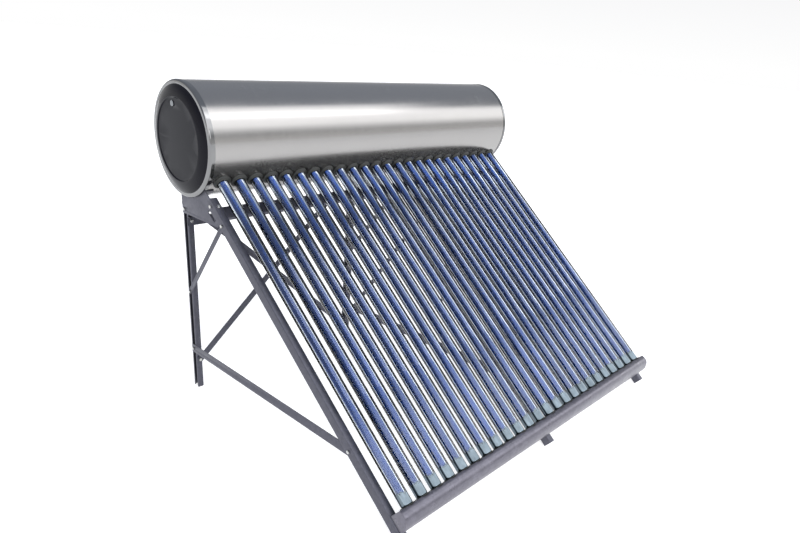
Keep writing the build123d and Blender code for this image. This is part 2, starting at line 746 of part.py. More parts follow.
for label, x, side in zip(side_names, leg_x, leg_out_side):
    strip_outer = x + leg_inside(side) - side * face_gap
    strip_start = min(strip_outer, strip_outer - side * strip_wall)
    with BuildPart() as front_leg:
        with BuildSketch(across_tubes(leg_top)):
            with Locations((x, -leg_face - leg_depth / 2)):
                Rectangle(leg_width, leg_depth)
            with Locations((x, -leg_face - leg_wall - leg_depth / 2)):
                Rectangle(leg_width - 2 * leg_wall, leg_depth, mode=Mode.SUBTRACT)
        extrude(amount=leg_foot - leg_top)
        drill(frame_bolts)
    save(front_leg, f"front_leg_{label}")

    rear_width = leg_width - leg_wall - strip_wall - 2 * face_gap
    rear_middle = x - side * (leg_width / 2 - rear_width / 2)
    rear_top = tank_radius + saddle_wall + 3.0
    with BuildPart() as rear_leg:
        with BuildSketch(Plane.XY):
            with Locations((rear_middle, axis_y + rear_leg_middle)):
                Rectangle(rear_width, rear_leg_depth)
                Rectangle(
                    rear_width - 2 * leg_wall, rear_leg_depth - 2 * leg_wall, mode=Mode.SUBTRACT
                )
            slot_x = rear_middle + side * rear_width / 2
            with Locations((slot_x, axis_y + rear_leg_middle)):
                Rectangle(3 * leg_wall, rear_leg_depth - 2 * rear_leg_lip, mode=Mode.SUBTRACT)
        extrude(amount=axis_z - rear_top)
        drill(all_bolts)
    save(rear_leg, f"rear_leg_{label}")

    # Side tie: a folded strip from the rear leg to the sloping leg.
    with BuildPart() as side_tie:
        rear_end = (rear_leg_back - 6.0, -tie_rear_drop)
        front_bolt = at(x, tie_front_s, leg_middle_n)
        front_end = (front_bolt.Y - axis_y, front_bolt.Z - axis_z)
        rise = (front_end[1] - rear_end[1]) / (front_end[0] - rear_end[0])
        half = tie_height / 2
        reach = (front_end[0] - 9.0, front_end[1] - 9.0 * rise)
        with BuildSketch(upright_section(strip_start)):
            with BuildLine():
                Polyline(
                    (rear_end[0], rear_end[1] - half),
                    (rear_end[0], rear_end[1] + half),
                    (reach[0] + 22.0, reach[1] + half),
                    (reach[0], reach[1] + half * 0.1),
                    (reach[0], reach[1] - half),
                    close=True,
                )
            make_face()
        extrude(amount=strip_wall)
        drill(frame_bolts)
    save(side_tie, f"side_tie_{label}")

    with BuildPart() as side_diagonal:
        upper = at(x, diagonal_front_s, leg_middle_n)
        with BuildSketch(upright_section(strip_start)):
            strip_outline(
                (rear_leg_middle, -diagonal_rear_drop),
                (upper.Y - axis_y, upper.Z - axis_z),
                diagonal_width,
            )
        extrude(amount=strip_wall)
        drill(frame_bolts)
    save(side_diagonal, f"side_diagonal_{label}")

    # Saddle: a side plate from leg to leg, with a curved flange and pad that carry the tank.
    # A window in the plate lets the cross channel through.
    with BuildPart() as saddle:
        corners = (
            at(x, leg_top + 6.0, -leg_face - leg_wall - 3.0),
            at(x, diagonal_front_s - 1.5 * diagonal_width, -leg_face - leg_wall - 8.0),
            at(x, diagonal_front_s - 0.65 * diagonal_width, -leg_back - 14.0),
        )
        with BuildSketch(upright_section(strip_start)):
            with BuildLine():
                cradle_arc(cradle_radius)
                Polyline(
                    cradle_point(cradle_radius, -saddle_front_reach),
                    *[(corner.Y - axis_y, corner.Z - axis_z) for corner in corners],
                    (rear_leg_back - 4.0, -saddle_rear_drop),
                    cradle_point(cradle_radius, rear_leg_back),
                )
            make_face()
        extrude(amount=strip_wall)
        with BuildSketch(slope_section(x + leg_width)):
            window_n = -leg_back - face_gap - cross_channel_depth / 2
            with Locations((cross_channel_top + cross_channel_height / 2, window_n)):
                Rectangle(cross_channel_height + 2.0, cross_channel_depth + 2.0)
        extrude(amount=2 * leg_width, mode=Mode.SUBTRACT)
        for inner, outer, reach in (
            (cradle_radius, cradle_radius + saddle_wall, saddle_width),
            (tank_radius + seat_gap, cradle_radius + 0.5, saddle_width - saddle_pad_start),
        ):
            inward = strip_outer - side * saddle_width
            with BuildSketch(upright_section(min(inward, inward + side * reach))):
                with BuildLine():
                    cradle_arc(inner)
                    cradle_arc(outer)
                    for end in (-saddle_front_reach, rear_leg_back):
                        Line(cradle_point(inner, end), cradle_point(outer, end))
                make_face()
            extrude(amount=reach)
        drill(frame_bolts)
    save(saddle, f"saddle_{label}")

# Cross channel behind the tops of the sloping legs.
channel_start = leg_x[0] - leg_width / 2
channel_end = leg_x[2] + leg_width / 2
with BuildPart() as cross_channel:
    with BuildSketch(slope_section(channel_end)):
        front_n = -leg_back - face_gap
        middle_s = cross_channel_top + cross_channel_height / 2
        with Locations((middle_s, front_n - cross_channel_depth / 2)):
            Rectangle(cross_channel_height, cross_channel_depth)
        with Locations((middle_s, front_n - leg_wall - cross_channel_depth / 2)):
            Rectangle(
                cross_channel_height - 2 * leg_wall, cross_channel_depth, mode=Mode.SUBTRACT
            )
    extrude(amount=channel_end - channel_start)
    drill(frame_bolts)
save(cross_channel, "cross_channel")

# Top rail across the rear legs: an angle, with its fold to the front.
with BuildPart() as rear_top_rail:
    rail_face = rear_leg_front - face_gap - strip_wall / 2
    with BuildSketch(upright_section(channel_start)):
        with Locations((rail_face, -top_rail_drop - top_rail_height / 2)):
            Rectangle(strip_wall, top_rail_height)
        with Locations((rail_face - top_rail_fold / 2, -top_rail_drop - strip_wall / 2)):
            Rectangle(top_rail_fold + strip_wall, strip_wall)
    extrude(amount=channel_end - channel_start)
    drill(brace_bolts)
save(rear_top_rail, "rear_top_rail")

# Braces across the back: one rises from each outer leg's foot, one falls from its top.
with BuildPart() as rising_braces:
    for x, side in ((leg_x[0], -1), (leg_x[2], 1)):
        start_x = x - side * (leg_wall + strip_wall) / 2
        with BuildSketch(back_section(rising_front + strip_wall)):
            strip_outline(
                (start_x, -rising_brace_start_drop),
                (start_x - side * rising_brace_run(x), -rising_end_drop),
                brace_width,
            )
        extrude(amount=strip_wall)
    drill(brace_bolts)
save(rising_braces, "rising_braces")

with BuildPart() as falling_braces:
    for x, side, layer in ((leg_x[0], -1, 1), (leg_x[2], 1, 2)):
        start_x = x - side * (leg_wall + strip_wall) / 2
        with BuildSketch(back_section(rear_leg_back + layer * (strip_wall + face_gap))):
            strip_outline(
                (start_x, -falling_brace_start_drop),
                (middle_flange, -falling_brace_end_drop),
                brace_width,
            )
        extrude(amount=strip_wall)
    drill(brace_bolts)
save(falling_braces, "falling_braces")

# ================================================================ fasteners
with BuildPart() as bolts:
    for place, direction, grip in all_bolts:
        with BuildSketch(Plane(origin=place - direction * face_gap, z_dir=direction)):
            Circle(bolt_diameter / 2)
        extrude(amount=grip + 2 * face_gap + nut_height + bolt_tail)
        with BuildSketch(Plane(origin=place - direction * face_gap, z_dir=direction)):
            RegularPolygon(bolt_head_width / 2, 6, major_radius=False)
        extrude(amount=-bolt_head_height)
save(bolts, "bolts")

with BuildPart() as nuts:
    for place, direction, grip in all_bolts:
        under = place + direction * (grip + face_gap)
        with BuildSketch(Plane(origin=under, z_dir=direction)):
            RegularPolygon(bolt_head_width / 2, 6, major_radius=False)
            Circle(bolt_diameter / 2 + thread_gap, mode=Mode.SUBTRACT)
        extrude(amount=nut_height)
save(nuts, "nuts")
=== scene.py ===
"""Finishes for a thermosiphon solar water heater: tank, evacuated tubes, rail and stand."""

import json
import math

import bmesh
import bpy
import numpy as np
from bpy.props import FloatProperty, FloatVectorProperty, IntProperty, PointerProperty
from mathutils import Matrix, Vector


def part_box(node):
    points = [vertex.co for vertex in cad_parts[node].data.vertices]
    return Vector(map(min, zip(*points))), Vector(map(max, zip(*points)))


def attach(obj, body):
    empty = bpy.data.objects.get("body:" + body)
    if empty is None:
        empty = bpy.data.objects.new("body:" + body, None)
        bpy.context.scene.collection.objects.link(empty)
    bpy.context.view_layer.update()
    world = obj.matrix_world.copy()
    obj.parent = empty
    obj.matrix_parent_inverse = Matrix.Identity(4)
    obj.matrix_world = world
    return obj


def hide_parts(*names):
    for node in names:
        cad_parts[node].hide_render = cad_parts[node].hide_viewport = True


bl_info = {
    "name": "Evacuated tube solar water heater",
    "version": (1, 0, 0),
    "blender": (4, 5, 0),
    "location": "View3D > Sidebar > Solar heater",
    "description": "Builds the finished pieces of a solar water heater round its fixed frame",
    "category": "Object",
}

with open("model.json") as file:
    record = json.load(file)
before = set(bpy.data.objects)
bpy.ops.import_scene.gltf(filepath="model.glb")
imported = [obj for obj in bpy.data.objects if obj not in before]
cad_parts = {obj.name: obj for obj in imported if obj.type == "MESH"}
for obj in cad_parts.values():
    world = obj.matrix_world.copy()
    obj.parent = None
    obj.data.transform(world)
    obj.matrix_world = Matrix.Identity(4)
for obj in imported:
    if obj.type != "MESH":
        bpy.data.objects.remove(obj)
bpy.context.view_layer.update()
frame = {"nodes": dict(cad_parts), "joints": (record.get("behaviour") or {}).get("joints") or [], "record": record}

BODIES = frame["record"]["behaviour"]["bodies"]
TUBES = [(joint["child"], BODIES[joint["child"]][0]) for joint in frame["joints"]]
UPHILL = Vector(frame["joints"][0]["axis"]).normalized()
DOWNHILL = -UPHILL
OUTWARD = Vector((0.0, DOWNHILL.z, -DOWNHILL.y))
ALONG = Vector((1.0, 0.0, 0.0))
TANK_LOW, TANK_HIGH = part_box("tank_shell")
TANK_CENTRE = (TANK_LOW + TANK_HIGH) / 2
TANK_RADIUS = (TANK_HIGH.z - TANK_LOW.z) / 2
MM = 0.001
SIDES = ("left", "middle", "right")


# ---------------------------------------------------------------- places and measures
def corners(node):
    """A CAD node's vertices as an array."""
    mesh = frame["nodes"][node].data
    co = np.empty(len(mesh.vertices) * 3)
    mesh.vertices.foreach_get("co", co)
    return co.reshape(-1, 3)


def spans(node):
    """The node's extent as (x, s, n) pairs: across, down the slope, and off the tube plane."""
    rest = corners(node) - np.array(TANK_CENTRE)
    found = []
    for way in (ALONG, DOWNHILL, OUTWARD):
        reach = rest @ np.array(way)
        found.append((float(reach.min()), float(reach.max())))
    return found


def on_slope(x, s, n):
    """A point of the sloping field: s down the slope from the tank axis, n off the tube plane."""
    return Vector((x, TANK_CENTRE.y, TANK_CENTRE.z)) + DOWNHILL * s + OUTWARD * n


def tube_x(node):
    low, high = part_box(node)
    return (low.x + high.x) / 2


# ---------------------------------------------------------------- mesh building
def make_object(name, verts, faces, materials):
    """A new mesh object at the origin, its faces turned outwards."""
    mesh = bpy.data.meshes.new(name)
    mesh.from_pydata([tuple(v) for v in verts], [], faces)
    for material in materials:
        mesh.materials.append(material)
    work = bmesh.new()
    work.from_mesh(mesh)
    bmesh.ops.recalc_face_normals(work, faces=work.faces)
    work.to_mesh(mesh)
    work.free()
    made = bpy.data.objects.new(name, mesh)
    bpy.context.scene.collection.objects.link(made)
    return made


def smooth(made, degrees=32.0):
    """Smooth shading, with edges kept sharp above an angle."""
    mesh = made.data
    mesh.polygons.foreach_set("use_smooth", [True] * len(mesh.polygons))
    mesh.set_sharp_from_angle(angle=math.radians(degrees))
    return made


def turned(profile, axis_point, axis, across, segments, closed):
    """Vertices and faces of a profile of (radius, distance along the axis) turned about an axis."""
    side = axis.cross(across).normalized()
    verts, rings = [], []
    for radius, reach in profile:
        centre = axis_point + axis * reach
        if radius < 1e-7:
            rings.append([len(verts)] * segments)
            verts.append(centre)
            continue
        rings.append(list(range(len(verts), len(verts) + segments)))
        for k in range(segments):
            angle = 2 * math.pi * k / segments
            verts.append(centre + (across * math.cos(angle) + side * math.sin(angle)) * radius)
    faces = []
    pairs = list(zip(rings, rings[1:])) + ([(rings[-1], rings[0])] if closed else [])
    for one, two in pairs:
        for k in range(segments):
            loop = [one[k], one[(k + 1) % segments], two[(k + 1) % segments], two[k]]
            faces.append(list(dict.fromkeys(loop)))
    return verts, [face for face in faces if len(face) > 2]


def arc(centre, radius, start, end, steps):
    """Points of (radius, reach) round a centre on the profile; angles in degrees from +radius."""
    points = []
    for k in range(steps + 1):
        angle = math.radians(start + (end - start) * k / steps)
        points.append((centre[0] + radius * math.cos(angle), centre[1] + radius * math.sin(angle)))
    return points


def finished_copy(node, name, materials, bevel=0.0, degrees=32.0, weld=2e-5):
    """A CAD node's own shape as one joined mesh, with its edges rounded, in place of the node."""
    source = frame["nodes"][node]
    mesh = source.data.copy()
    mesh.name = name
    mesh.materials.clear()
    for material in materials:
        mesh.materials.append(material)
    mesh.polygons.foreach_set("material_index", [0] * len(mesh.polygons))
    if mesh.has_custom_normals:
        mesh.attributes.remove(mesh.attributes["custom_normal"])
    work = bmesh.new()
    work.from_mesh(mesh)
    bmesh.ops.remove_doubles(work, verts=work.verts, dist=weld)
    bmesh.ops.dissolve_limit(
        work, angle_limit=math.radians(0.3), verts=work.verts, edges=work.edges
    )
    if bevel > 0:
        sharp = [
            edge
            for edge in work.edges
            if len(edge.link_faces) == 2 and edge.calc_face_angle(0.0) > math.radians(40)
        ]
        bmesh.ops.bevel(
            work, geom=sharp, offset=bevel, segments=2, profile=0.6, affect="EDGES",
            clamp_overlap=True,
        )
    work.to_mesh(mesh)
    work.free()
    made = bpy.data.objects.new(name, mesh)
    bpy.context.scene.collection.objects.link(made)
    smooth(made, degrees)
    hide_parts(node)
    return made


def sheet_outline(path, wall, bend, steps=4):
    """Matching left and right points of a folded sheet that follows a path with round bends."""
    left, right = [], []

    def put(point, normal):
        left.append(point + normal * wall / 2)
        right.append(point - normal * wall / 2)

    path = [Vector(point) for point in path]
    for index, point in enumerate(path):
        before = (point - path[index - 1]).normalized() if index else None
        after = (path[index + 1] - point).normalized() if index < len(path) - 1 else None
        if before is None or after is None:
            way = after if before is None else before
            put(point, Vector((-way.y, way.x)))
            continue
        turn = math.atan2(before.x * after.y - before.y * after.x, before.dot(after))
        radius = bend + wall / 2
        hand = 1.0 if turn > 0 else -1.0
        normal = Vector((-before.y, before.x))
        start = point - before * radius * math.tan(abs(turn) / 2)
        centre = start + normal * radius * hand
        for step in range(steps + 1):
            angle = turn * step / steps
            spun = Vector(
                (
                    normal.x * math.cos(angle) - normal.y * math.sin(angle),
                    normal.x * math.sin(angle) + normal.y * math.cos(angle),
                )
            )
            put(centre - spun * radius * hand, spun)
    return left, right


def folded_member(name, path, wall, bend, place, start, end, materials):
    """A folded sheet member: a section swept straight from start to end, ends closed."""
    left, right = sheet_outline(path, wall, bend)
    count = len(left)
    loop = left + right[::-1]
    verts = [place(p.x, p.y, t) for t in (start, end) for p in loop]
    faces = []
    size = len(loop)
    for k in range(size):
        faces.append([k, (k + 1) % size, size + (k + 1) % size, size + k])
    for k in range(count - 1):
        other = size - 1 - k
        faces.append([k, k + 1, other - 1, other])
        faces.append([size + k, size + k + 1, size + other - 1, size + other])
    return smooth(make_object(name, verts, faces, materials), 40.0)


# ---------------------------------------------------------------- node helpers
def new_material(name):
    material = bpy.data.materials.new(name)
    material.use_nodes = True
    tree = material.node_tree
    tree.nodes.clear()
    return material, tree


def add(tree, kind, inputs=None, **settings):
    node = tree.nodes.new(kind)
    for key, value in settings.items():
        setattr(node, key, value)
    for key, value in (inputs or {}).items():
        if isinstance(value, bpy.types.NodeSocket):
            tree.links.new(value, node.inputs[key])
        else:
            node.inputs[key].default_value = value
    return node


def colour(values, alpha=1.0):
    return (values[0], values[1], values[2], alpha)


def object_point(tree, scale=(1.0, 1.0, 1.0)):
    """The object's own coordinates, stretched."""
    source = add(tree, "ShaderNodeTexCoord").outputs["Object"]
    return add(tree, "ShaderNodeMapping", {"Vector": source, "Scale": scale}).outputs["Vector"]


def noise(tree, scale, detail=3.0, stretch=(1.0, 1.0, 1.0), rough=0.5):
    return add(
        tree,
        "ShaderNodeTexNoise",
        {
            "Vector": object_point(tree, stretch),
            "Scale": scale,
            "Detail": detail,
            "Roughness": rough,
        },
    ).outputs["Fac"]


def spread(tree, value, low, high, start=0.3, end=0.7):
    """A value from start to end stretched to run from low to high."""
    return add(
        tree,
        "ShaderNodeMapRange",
        {"Value": value, "From Min": start, "From Max": end, "To Min": low, "To Max": high},
    ).outputs["Result"]


def blend_colour(tree, factor, one, two):
    node = tree.nodes.new("ShaderNodeMix")
    node.data_type = "RGBA"
    put = {0: factor, 6: one, 7: two}
    for index, value in put.items():
        if isinstance(value, bpy.types.NodeSocket):
            tree.links.new(value, node.inputs[index])
        else:
            node.inputs[index].default_value = value
    return node.outputs[2]


def bump(tree, height, strength, distance):
    return add(
        tree,
        "ShaderNodeBump",
        {"Height": height, "Strength": strength, "Distance": distance},
    ).outputs["Normal"]


def finish_material(tree, shader):
    out = add(tree, "ShaderNodeOutputMaterial")
    tree.links.new(shader, out.inputs["Surface"])


def mottled(tree, field, one, two):
    """One colour turning into another over a noise field."""
    return blend_colour(tree, spread(tree, field, 0.0, 1.0), colour(one), colour(two))


def principled(material, inputs):
    """Gives a material one principled surface and returns the material."""
    tree = material.node_tree
    finish_material(tree, add(tree, "ShaderNodeBsdfPrincipled", inputs).outputs["BSDF"])
    return material


# ---------------------------------------------------------------- materials
def brushed_stainless(name, tint, streak=0.10, rough=0.20):
    """Sheet brushed round the tank: fine streaks, faint rolled waviness and wiped marks."""
    material, tree = new_material(name)
    fine = noise(tree, 1.0, 2.0, (1900.0, 9.0, 9.0))
    broad = noise(tree, 1.0, 3.0, (55.0, 2.0, 2.0))
    marks = noise(tree, 3.2, 4.0, (1.0, 2.2, 2.2), 0.6)
    base = colour(tint)
    dark = colour([v * (1 - streak) for v in tint])
    streaks = blend_colour(tree, spread(tree, fine, 0.0, 1.0), dark, base)
    worn = blend_colour(
        tree, spread(tree, marks, 0.0, 0.35), streaks, colour([v * 0.9 for v in tint])
    )
    roughness = add(
        tree,
        "ShaderNodeMath",
        {
            0: spread(tree, fine, rough * 0.85, rough * 1.25),
            1: spread(tree, marks, -0.02, 0.035),
        },
        operation="ADD",
    ).outputs["Value"]
    waves = bump(tree, broad, 0.25, 0.0004)
    return principled(
        material,
        {
            "Base Color": worn,
            "Metallic": 1.0,
            "Roughness": roughness,
            "Normal": waves,
        },
    )


def polished_band(name, tint):
    """Bright rolled stainless with faint rolling lines."""
    material, tree = new_material(name)
    lines = noise(tree, 1.0, 2.0, (900.0, 14.0, 14.0))
    cloud = noise(tree, 9.0, 3.0)
    return principled(
        material,
        {
            "Base Color": mottled(tree, cloud, [v * 0.86 for v in tint], tint),
            "Metallic": 1.0,
            "Roughness": spread(tree, lines, 0.07, 0.15),
            "Normal": bump(tree, cloud, 0.12, 0.0006),
        },
    )


def glossy_moulding(name, tint, rough=0.08, gloss=0.10):
    """Glossy moulded plastic: faint flow unevenness, dust and fine wiping scratches."""
    material, tree = new_material(name)
    flow = noise(tree, 6.0, 2.0)
    dust = noise(tree, 420.0, 2.0)
    swirl = noise(tree, 38.0, 4.0, (1.0, 1.0, 3.0))
    return principled(
        material,
        {
            "Base Color": blend_colour(
                tree,
                spread(tree, dust, 0.0, 1.0, 0.55, 0.8),
                colour(tint),
                colour([v * 1.4 + 0.002 for v in tint]),
            ),
            "Roughness": spread(tree, swirl, rough * 0.8, rough * 1.5),
            "Specular IOR Level": gloss,
            "Normal": bump(tree, flow, 0.05, 0.0012),
        },
    )


def matte_moulding(name, tint, rough=0.55, grain=900.0):
    """Moulded plastic or rubber with a fine grain and a little bloom."""
    material, tree = new_material(name)
    fine = noise(tree, grain, 2.0)
    bloom = noise(tree, 26.0, 4.0, (1.0, 1.0, 1.0), 0.6)
    return principled(
        material,
        {
            "Base Color": mottled(tree, bloom, tint, [v * 1.35 + 0.004 for v in tint]),
            "Roughness": spread(tree, bloom, rough - 0.08, rough + 0.12),
            "Normal": bump(tree, fine, 0.25, 0.0002),
        },
    )


def coated_steel(name, tint, metallic=0.65, rough=0.34):
    """Painted or galvanised sheet: orange peel, faint spangle, handling scuffs and pale dust."""
    material, tree = new_material(name)
    peel = noise(tree, 620.0, 2.0)
    spangle = add(
        tree, "ShaderNodeTexVoronoi", {"Vector": object_point(tree), "Scale": 85.0}
    ).outputs["Color"]
    cells = add(tree, "ShaderNodeSeparateColor", {"Color": spangle}).outputs["Red"]
    scuff = noise(tree, 14.0, 6.0, (1.0, 1.0, 1.0), 0.7)
    light = colour([min(1.0, v * 1.22) for v in tint])
    dark = colour([v * 0.82 for v in tint])
    patches = blend_colour(tree, spread(tree, cells, 0.25, 0.75, 0.0, 1.0), dark, light)
    worn = blend_colour(
        tree,
        spread(tree, scuff, 0.0, 0.5, 0.56, 0.74),
        patches,
        colour([min(1.0, v * 1.5 + 0.02) for v in tint]),
    )
    return principled(
        material,
        {
            "Base Color": worn,
            "Metallic": metallic,
            "Roughness": spread(tree, scuff, rough - 0.06, rough + 0.12),
            "Normal": bump(tree, peel, 0.12, 0.0002),
        },
    )


def plated_steel(name, tint):
    """Zinc plating: bright, slightly iridescent and uneven."""
    material, tree = new_material(name)
    cloud = noise(tree, 130.0, 3.0)
    return principled(
        material,
        {
            "Base Color": mottled(tree, cloud, [tint[0], tint[1] * 0.97, tint[2] * 0.86], tint),
            "Metallic": 1.0,
            "Roughness": spread(tree, cloud, 0.20, 0.36),
            "Normal": bump(tree, cloud, 0.10, 0.0002),
        },
    )


def foam_block(name, tint):
    """Cut rigid foam with open cells."""
    material, tree = new_material(name)
    cells = add(
        tree, "ShaderNodeTexVoronoi", {"Vector": object_point(tree), "Scale": 700.0}
    ).outputs["Distance"]
    age = noise(tree, 12.0, 3.0)
    return principled(
        material,
        {
            "Base Color": mottled(
                tree, age, tint, [v * f for v, f in zip(tint, (0.88, 0.80, 0.62))]
            ),
            "Roughness": 0.95,
            "Normal": bump(tree, cells, 0.6, 0.0006),
        },
    )


def slope_reach(tree):
    """Distance down the slope from the tank axis, from the object's own coordinates."""
    place = add(tree, "ShaderNodeTexCoord").outputs["Object"]
    along = add(
        tree,
        "ShaderNodeVectorMath",
        {0: place, 1: tuple(DOWNHILL)},
        operation="DOT_PRODUCT",
    ).outputs["Value"]
    return add(
        tree, "ShaderNodeMath", {0: along, 1: TANK_CENTRE.dot(DOWNHILL)}, operation="SUBTRACT"
    ).outputs["Value"]


def tube_glass(name, getter_start, getter_tint):
    """Clear drawn glass, silvered inside at the tail by the flashed getter."""
    material, tree = new_material(name)
    clear = add(tree, "ShaderNodeBsdfTransparent", {"Color": (0.86, 0.90, 0.93, 1.0)})
    gloss = add(tree, "ShaderNodeBsdfGlossy", {"Color": (1.0, 1.0, 1.0, 1.0), "Roughness": 0.03})
    fresnel = add(tree, "ShaderNodeFresnel", {"IOR": 1.5}).outputs["Fac"]
    glass = add(tree, "ShaderNodeMixShader", {"Fac": fresnel})
    tree.links.new(clear.outputs["BSDF"], glass.inputs[1])
    tree.links.new(gloss.outputs["BSDF"], glass.inputs[2])
    cloud = noise(tree, 60.0, 4.0, (1.0, 0.4, 0.4))
    mirror = add(
        tree,
        "ShaderNodeBsdfPrincipled",
        {
            "Base Color": mottled(tree, cloud, [v * 0.62 for v in getter_tint], getter_tint),
            "Metallic": 1.0,
            "Roughness": spread(tree, cloud, 0.06, 0.16),
        },
    )
    ragged = add(
        tree,
        "ShaderNodeMath",
        {0: slope_reach(tree), 1: spread(tree, cloud, -0.007, 0.007)},
        operation="ADD",
    ).outputs["Value"]
    silvered = spread(tree, ragged, 0.0, 1.0, getter_start - 0.006, getter_start + 0.006)
    both = add(tree, "ShaderNodeMixShader", {"Fac": silvered})
    tree.links.new(glass.outputs["Shader"], both.inputs[1])
    tree.links.new(mirror.outputs["BSDF"], both.inputs[2])
    finish_material(tree, both.outputs["Shader"])
    return material


def selective_coating(name, tint, end):
    """Sputtered blue absorber film: shiny, deep blue, a little uneven, plain glass past its
    lower end."""
    material, tree = new_material(name)
    drift = noise(tree, 1.0, 3.0, (14.0, 1.6, 1.6))
    speck = noise(tree, 30.0, 2.0)
    deep = colour([v * 0.72 for v in tint])
    pale = colour([min(1.0, v * 1.25 + 0.004) for v in tint])
    film = blend_colour(tree, spread(tree, drift, 0.0, 1.0), deep, pale)
    reach = slope_reach(tree)
    tail = spread(tree, reach, 0.0, 1.0, end - 0.004, end + 0.004)
    tone = blend_colour(tree, tail, film, (0.09, 0.11, 0.13, 1.0))
    return principled(
        material,
        {
            "Base Color": tone,
            "Metallic": 0.82,
            "Roughness": spread(tree, speck, 0.20, 0.27),
        },
    )


# ---------------------------------------------------------------- geometry node trees
def row_tree():
    """Repeats a piece in a straight row."""
    tree = bpy.data.node_groups.new("piece_row", "GeometryNodeTree")
    face = tree.interface
    face.new_socket("Geometry", in_out="INPUT", socket_type="NodeSocketGeometry")
    face.new_socket("Count", in_out="INPUT", socket_type="NodeSocketInt")
    face.new_socket("Pitch", in_out="INPUT", socket_type="NodeSocketFloat")
    face.new_socket("Material", in_out="INPUT", socket_type="NodeSocketMaterial")
    face.new_socket("Geometry", in_out="OUTPUT", socket_type="NodeSocketGeometry")
    source = tree.nodes.new("NodeGroupInput")
    step = add(tree, "ShaderNodeCombineXYZ", {"X": source.outputs["Pitch"]})
    line = add(
        tree,
        "GeometryNodeMeshLine",
        {"Count": source.outputs["Count"], "Offset": step.outputs["Vector"]},
    )
    placed = add(
        tree,
        "GeometryNodeInstanceOnPoints",
        {"Points": line.outputs["Mesh"], "Instance": source.outputs["Geometry"]},
    )
    real = add(tree, "GeometryNodeRealizeInstances", {0: placed.outputs["Instances"]})
    painted = add(
        tree,
        "GeometryNodeSetMaterial",
        {"Geometry": real.outputs[0], "Material": source.outputs["Material"]},
    )
    sink = tree.nodes.new("NodeGroupOutput")
    tree.links.new(painted.outputs["Geometry"], sink.inputs["Geometry"])
    return tree


def fastener_tree():
    """Sets a fastener on every point, turned to the point's direction."""
    tree = bpy.data.node_groups.new("set_fasteners", "GeometryNodeTree")
    face = tree.interface
    face.new_socket("Geometry", in_out="INPUT", socket_type="NodeSocketGeometry")
    face.new_socket("Fastener", in_out="INPUT", socket_type="NodeSocketObject")
    face.new_socket("Turn seed", in_out="INPUT", socket_type="NodeSocketInt")
    face.new_socket("Material", in_out="INPUT", socket_type="NodeSocketMaterial")
    face.new_socket("Geometry", in_out="OUTPUT", socket_type="NodeSocketGeometry")
    source = tree.nodes.new("NodeGroupInput")
    way = add(
        tree, "GeometryNodeInputNamedAttribute", {"Name": "direction"}, data_type="FLOAT_VECTOR"
    )
    aimed = add(
        tree,
        "FunctionNodeAlignRotationToVector",
        {"Vector": way.outputs["Attribute"]},
        axis="Z",
    )
    spin = add(
        tree,
        "FunctionNodeRandomValue",
        {2: 0.0, 3: math.pi / 3, "Seed": source.outputs["Turn seed"]},
        data_type="FLOAT",
    )
    own = add(
        tree,
        "FunctionNodeAxisAngleToRotation",
        {"Axis": (0.0, 0.0, 1.0), "Angle": spin.outputs[1]},
    )
    both = add(
        tree,
        "FunctionNodeRotateRotation",
        {"Rotation": aimed.outputs["Rotation"], "Rotate By": own.outputs["Rotation"]},
        rotation_space="LOCAL",
    )
    shape = add(
        tree, "GeometryNodeObjectInfo", {"Object": source.outputs["Fastener"]}
    )
    placed = add(
        tree,
        "GeometryNodeInstanceOnPoints",
        {
            "Points": source.outputs["Geometry"],
            "Instance": shape.outputs["Geometry"],
            "Rotation": both.outputs["Rotation"],
        },
    )
    real = add(tree, "GeometryNodeRealizeInstances", {0: placed.outputs["Instances"]})
    painted = add(
        tree,
        "GeometryNodeSetMaterial",
        {"Geometry": real.outputs[0], "Material": source.outputs["Material"]},
    )
    sink = tree.nodes.new("NodeGroupOutput")
    tree.links.new(painted.outputs["Geometry"], sink.inputs["Geometry"])
    return tree


def run_tree(made, tree, values, degrees=32.0):
    """Runs a node tree on an object and keeps the result as the object's plain mesh."""
    modifier = made.modifiers.new("nodes", "NODES")
    modifier.node_group = tree
    for item in tree.interface.items_tree:
        if item.item_type == "SOCKET" and item.in_out == "INPUT" and item.name in values:
            modifier[item.identifier] = values[item.name]
    bpy.context.view_layer.update()
    graph = bpy.context.evaluated_depsgraph_get()
    mesh = bpy.data.meshes.new_from_object(made.evaluated_get(graph))
    made.modifiers.remove(modifier)
    old = made.data
    made.data = mesh
    mesh.name = made.name
    if old.users == 0:
        bpy.data.meshes.remove(old)
    return smooth(made, degrees)


# ---------------------------------------------------------------- sizes and colours
class HeaterSizes(bpy.types.PropertyGroup):
    glass_wall: FloatProperty(
        name="Glass wall", description="Wall of the outer and inner glass", default=0.0016,
        unit="LENGTH",
    )
    absorber_radius: FloatProperty(
        name="Absorber radius", description="Radius of the coated inner tube", default=0.0185,
        unit="LENGTH",
    )
    getter_length: FloatProperty(
        name="Getter length", description="Silvered part of the tail", default=0.062,
        unit="LENGTH",
    )
    bare_tail: FloatProperty(
        name="Bare tail", description="Uncoated end of the inner tube", default=0.030,
        unit="LENGTH",
    )
    tube_segments: IntProperty(
        name="Tube segments", description="Facets round each tube", default=56, min=16
    )
    sheet_wall: FloatProperty(
        name="Sheet wall", description="Thickness of the folded members", default=0.002,
        unit="LENGTH",
    )
    bend: FloatProperty(
        name="Bend radius", description="Inner radius of the members' folds", default=0.0016,
        unit="LENGTH",
    )
    lip: FloatProperty(
        name="Lip", description="Returned lips of the rear legs", default=0.010, unit="LENGTH"
    )
    head_width: FloatProperty(
        name="Head width", description="Bolt head across its flats", default=0.013,
        unit="LENGTH",
    )
    head_height: FloatProperty(
        name="Head height", description="Height of a bolt head", default=0.0053, unit="LENGTH"
    )


